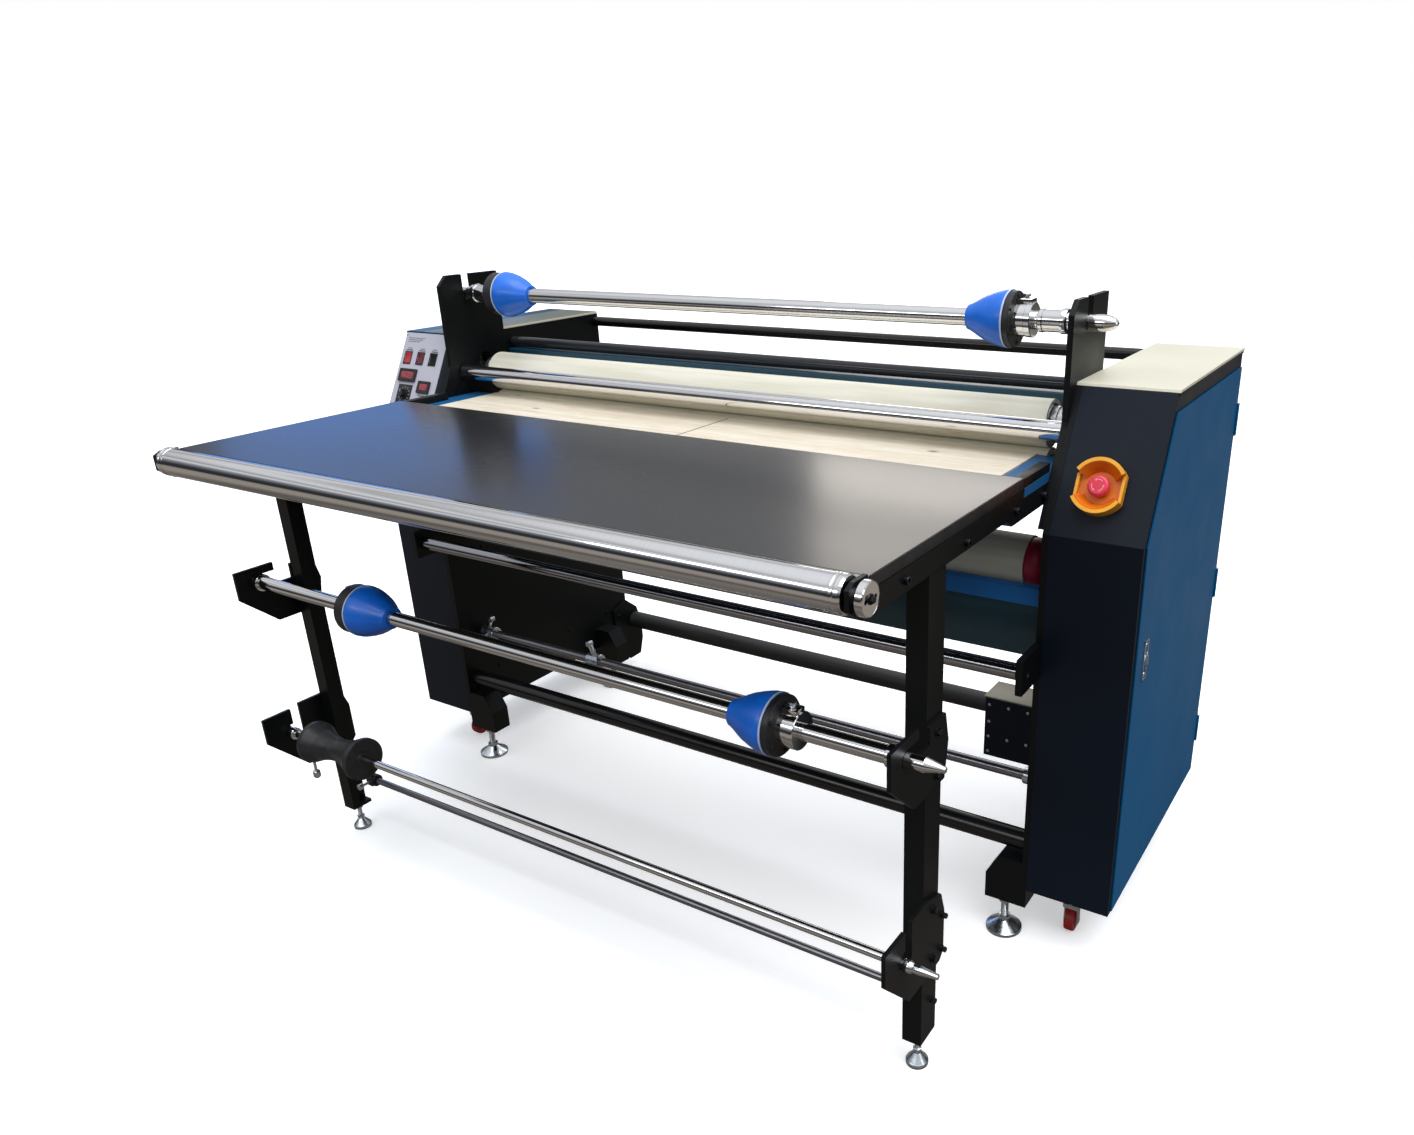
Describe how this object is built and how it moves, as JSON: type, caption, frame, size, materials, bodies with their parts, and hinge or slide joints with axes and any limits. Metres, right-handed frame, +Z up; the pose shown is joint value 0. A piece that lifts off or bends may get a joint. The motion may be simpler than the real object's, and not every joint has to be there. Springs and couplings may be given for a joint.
{
  "type": "cold roll laminator",
  "caption": "Floor-standing cold roll laminator with a nip of rubber rollers between two side cabinets, a front feed table and unwind shafts with core-holding cones",
  "frame": {"origin": "centre of the bounding box in X and Y, at floor level under the levelling feet", "axes": "+X runs along the rollers towards the cabinet with the emergency stop, -Y is the feed table side, +Z is up"},
  "size_m": [2.144, 1.4889, 1.381],
  "materials": {
    "black_paint": "satin black powder coat",
    "blue_paint": "satin blue powder coat",
    "cream_board": "cream enamel",
    "table_black": "smooth gloss black laminate",
    "steel": "ground steel",
    "chrome": "polished chrome plate",
    "dark_roller": "dark gloss sleeve",
    "cream_rubber": "smooth silicone rubber",
    "black_rubber": "smooth black sleeve",
    "cone_blue": "moulded blue nylon",
    "black_plastic": "moulded black plastic",
    "panel_white": "printed pale grey overlay",
    "red_plastic": "moulded red plastic",
    "maroon_plastic": "moulded dark red plastic",
    "yellow_plastic": "moulded orange yellow plastic",
    "wood": "sealed pale plywood",
    "motor_grey": "grey enamel",
    "wheel_red": "cast red polyurethane",
    "zinc": "bright zinc plate"
  },
  "bodies": {
    "frame": {"left_side_plate": "black_paint", "right_side_plate": "black_paint", "left_housing": "black_paint", "right_housing": "black_paint", "top_caps": "cream_board", "lower_bearings": "motor_grey", "lift_cylinders": "motor_grey", "drive_motor": "motor_grey", "drive_chain": "steel", "electrical_boxes": "black_paint", "control_panel": "panel_white", "panel_displays": "black_plastic", "estop_guard": "yellow_plastic", "shaft_brackets": "black_paint", "tie_bars": "black_paint", "steel_tie_rods": "steel", "rear_beam": "blue_paint", "front_apron": "blue_paint", "infeed_tray": "blue_paint", "infeed_boards": "wood", "table_top": "table_black", "table_frame": "black_paint", "floor_fittings": "zinc"},
    "upper_lift": {"lift_blocks": "steel"},
    "upper_roller": {"upper_roller_core": "steel", "upper_roller_cover": "cream_rubber"},
    "lower_roller": {"lower_roller_core": "steel", "lower_roller_cover": "cream_rubber"},
    "motor_drive": {"motor_sprocket": "steel"},
    "aux_roller_body": {"aux_roller": "cream_rubber"},
    "chrome_guide": {"chrome_guide_roller": "chrome"},
    "dark_guide": {"dark_guide_roller": "dark_roller"},
    "under_guide": {"under_table_roller": "chrome"},
    "front_roller_body": {"front_roller": "chrome"},
    "rear_tube": {"rear_takeup_tube": "black_rubber"},
    "top_unwind": {"top_shaft": "chrome"},
    "top_left_holder": {"top_left_cone": "cone_blue", "top_left_hub": "black_plastic"},
    "top_right_holder": {"top_right_cone": "cone_blue", "top_right_hub": "steel"},
    "mid_unwind": {"mid_shaft": "chrome"},
    "mid_left_holder": {"mid_left_cone": "cone_blue", "mid_left_hub": "black_plastic"},
    "mid_right_holder": {"mid_right_cone": "cone_blue", "mid_right_hub": "steel"},
    "liner_unwind": {"liner_shaft": "chrome"},
    "liner_spool": {"core_spool": "black_plastic"},
    "left_door_body": {"left_door": "blue_paint"},
    "right_door_body": {"right_door": "blue_paint"},
    "left_latch": {"left_door_latch": "zinc"},
    "right_latch": {"right_door_latch": "zinc"},
    "rocker_red_body": {"rocker_red": "red_plastic"},
    "rocker_maroon_body": {"rocker_maroon": "maroon_plastic"},
    "rocker_black_body": {"rocker_black": "black_plastic"},
    "knob_body": {"panel_knob": "black_plastic"},
    "estop_body": {"estop_button": "red_plastic"},
    "wheel_lf": {"left_front_wheel": "wheel_red"},
    "wheel_lr": {"left_rear_wheel": "wheel_red"},
    "wheel_rf": {"right_front_wheel": "wheel_red"},
    "wheel_rr": {"right_rear_wheel": "wheel_red"}
  },
  "joints": [
    {"name": "nip_lift", "type": "slide", "parent": "frame", "child": "upper_lift", "axis": [0, 0, 1], "range_m": [0, 0.025]},
    {"name": "upper_roller_spin", "type": "hinge", "parent": "upper_lift", "child": "upper_roller", "pos_m": [0, 0.2035, 1.117], "axis": [1, 0, 0], "continuous": true},
    {"name": "lower_roller_spin", "type": "hinge", "parent": "frame", "child": "lower_roller", "pos_m": [0, 0.2035, 1.017], "axis": [1, 0, 0], "continuous": true},
    {"name": "motor_spin", "type": "hinge", "parent": "frame", "child": "motor_drive", "pos_m": [0, 0.3125, 0.62], "axis": [1, 0, 0], "continuous": true},
    {"name": "aux_roller_spin", "type": "hinge", "parent": "frame", "child": "aux_roller_body", "pos_m": [0, 0.1235, 0.842], "axis": [1, 0, 0], "continuous": true},
    {"name": "chrome_guide_spin", "type": "hinge", "parent": "frame", "child": "chrome_guide", "pos_m": [0, 0.1235, 1.121], "axis": [1, 0, 0], "continuous": true},
    {"name": "dark_guide_spin", "type": "hinge", "parent": "frame", "child": "dark_guide", "pos_m": [0, 0.3225, 1.177], "axis": [1, 0, 0], "continuous": true},
    {"name": "under_table_spin", "type": "hinge", "parent": "frame", "child": "under_guide", "pos_m": [0, -0.0925, 0.69], "axis": [1, 0, 0], "continuous": true},
    {"name": "front_roller_spin", "type": "hinge", "parent": "frame", "child": "front_roller_body", "pos_m": [0, -0.7145, 1.062], "axis": [1, 0, 0], "continuous": true},
    {"name": "rear_tube_spin", "type": "hinge", "parent": "frame", "child": "rear_tube", "pos_m": [0, 0.7085, 0.172], "axis": [1, 0, 0], "continuous": true},
    {"name": "top_unwind_spin", "type": "hinge", "parent": "frame", "child": "top_unwind", "pos_m": [0, 0.1725, 1.325], "axis": [1, 0, 0], "continuous": true},
    {"name": "mid_unwind_spin", "type": "hinge", "parent": "frame", "child": "mid_unwind", "pos_m": [0, -0.5795, 0.74], "axis": [1, 0, 0], "continuous": true},
    {"name": "liner_unwind_spin", "type": "hinge", "parent": "frame", "child": "liner_unwind", "pos_m": [0, -0.5835, 0.337], "axis": [1, 0, 0], "continuous": true},
    {"name": "top_left_cone_slide", "type": "slide", "parent": "top_unwind", "child": "top_left_holder", "axis": [1, 0, 0], "range_m": [-0.009, 0.45]},
    {"name": "top_right_cone_slide", "type": "slide", "parent": "top_unwind", "child": "top_right_holder", "axis": [1, 0, 0], "range_m": [-0.45, 0.009]},
    {"name": "mid_left_cone_slide", "type": "slide", "parent": "mid_unwind", "child": "mid_left_holder", "axis": [1, 0, 0], "range_m": [-0.3, 0.3]},
    {"name": "mid_right_cone_slide", "type": "slide", "parent": "mid_unwind", "child": "mid_right_holder", "axis": [1, 0, 0], "range_m": [-0.4, 0.15]},
    {"name": "spool_slide", "type": "slide", "parent": "liner_unwind", "child": "liner_spool", "axis": [1, 0, 0], "range_m": [-0.05, 1.2]},
    {"name": "right_door_hinge", "type": "hinge", "parent": "frame", "child": "right_door_body", "pos_m": [1.067, 0.6755, 0.66], "axis": [0, 0, 1], "range_deg": [0, 115]},
    {"name": "left_door_hinge", "type": "hinge", "parent": "frame", "child": "left_door_body", "pos_m": [-1.067, 0.6755, 0.66], "axis": [0, 0, -1], "range_deg": [0, 115]},
    {"name": "right_latch_turn", "type": "hinge", "parent": "right_door_body", "child": "right_latch", "pos_m": [1.066, 0.0545, 0.703], "axis": [1, 0, 0], "range_deg": [0, 90]},
    {"name": "left_latch_turn", "type": "hinge", "parent": "left_door_body", "child": "left_latch", "pos_m": [-1.066, 0.0545, 0.703], "axis": [-1, 0, 0], "range_deg": [-90, 0]},
    {"name": "rocker_red_press", "type": "hinge", "parent": "frame", "child": "rocker_red_body", "pos_m": [-1.033, 0.08761, 1.15182], "axis": [1, 0, 0], "range_deg": [-7, 7]},
    {"name": "rocker_maroon_press", "type": "hinge", "parent": "frame", "child": "rocker_maroon_body", "pos_m": [-0.982, 0.08761, 1.15182], "axis": [1, 0, 0], "range_deg": [-7, 7]},
    {"name": "rocker_black_press", "type": "hinge", "parent": "frame", "child": "rocker_black_body", "pos_m": [-0.931, 0.08761, 1.15182], "axis": [1, 0, 0], "range_deg": [-7, 7]},
    {"name": "knob_turn", "type": "hinge", "parent": "frame", "child": "knob_body", "pos_m": [-1.012, 0.03506, 1.06203], "axis": [0, -0.8773, 0.48], "range_deg": [-150, 150]},
    {"name": "estop_press", "type": "slide", "parent": "frame", "child": "estop_body", "axis": [0, 0.8773, -0.48], "range_m": [0, 0.004], "stiffness_N_per_m": 1500},
    {"name": "left_front_wheel_spin", "type": "hinge", "parent": "frame", "child": "wheel_lf", "pos_m": [-0.96, 0.0675, 0.028], "axis": [1, 0, 0], "continuous": true},
    {"name": "left_rear_wheel_spin", "type": "hinge", "parent": "frame", "child": "wheel_lr", "pos_m": [-0.96, 0.5925, 0.028], "axis": [1, 0, 0], "continuous": true},
    {"name": "right_front_wheel_spin", "type": "hinge", "parent": "frame", "child": "wheel_rf", "pos_m": [0.96, 0.0675, 0.028], "axis": [1, 0, 0], "continuous": true},
    {"name": "right_rear_wheel_spin", "type": "hinge", "parent": "frame", "child": "wheel_rr", "pos_m": [0.96, 0.5925, 0.028], "axis": [1, 0, 0], "continuous": true}
  ],
  "couplings": [
    {"joint": "upper_roller_spin", "follows": "lower_roller_spin", "ratio": -1},
    {"joint": "motor_spin", "follows": "lower_roller_spin", "ratio": 1.2941}
  ]
}
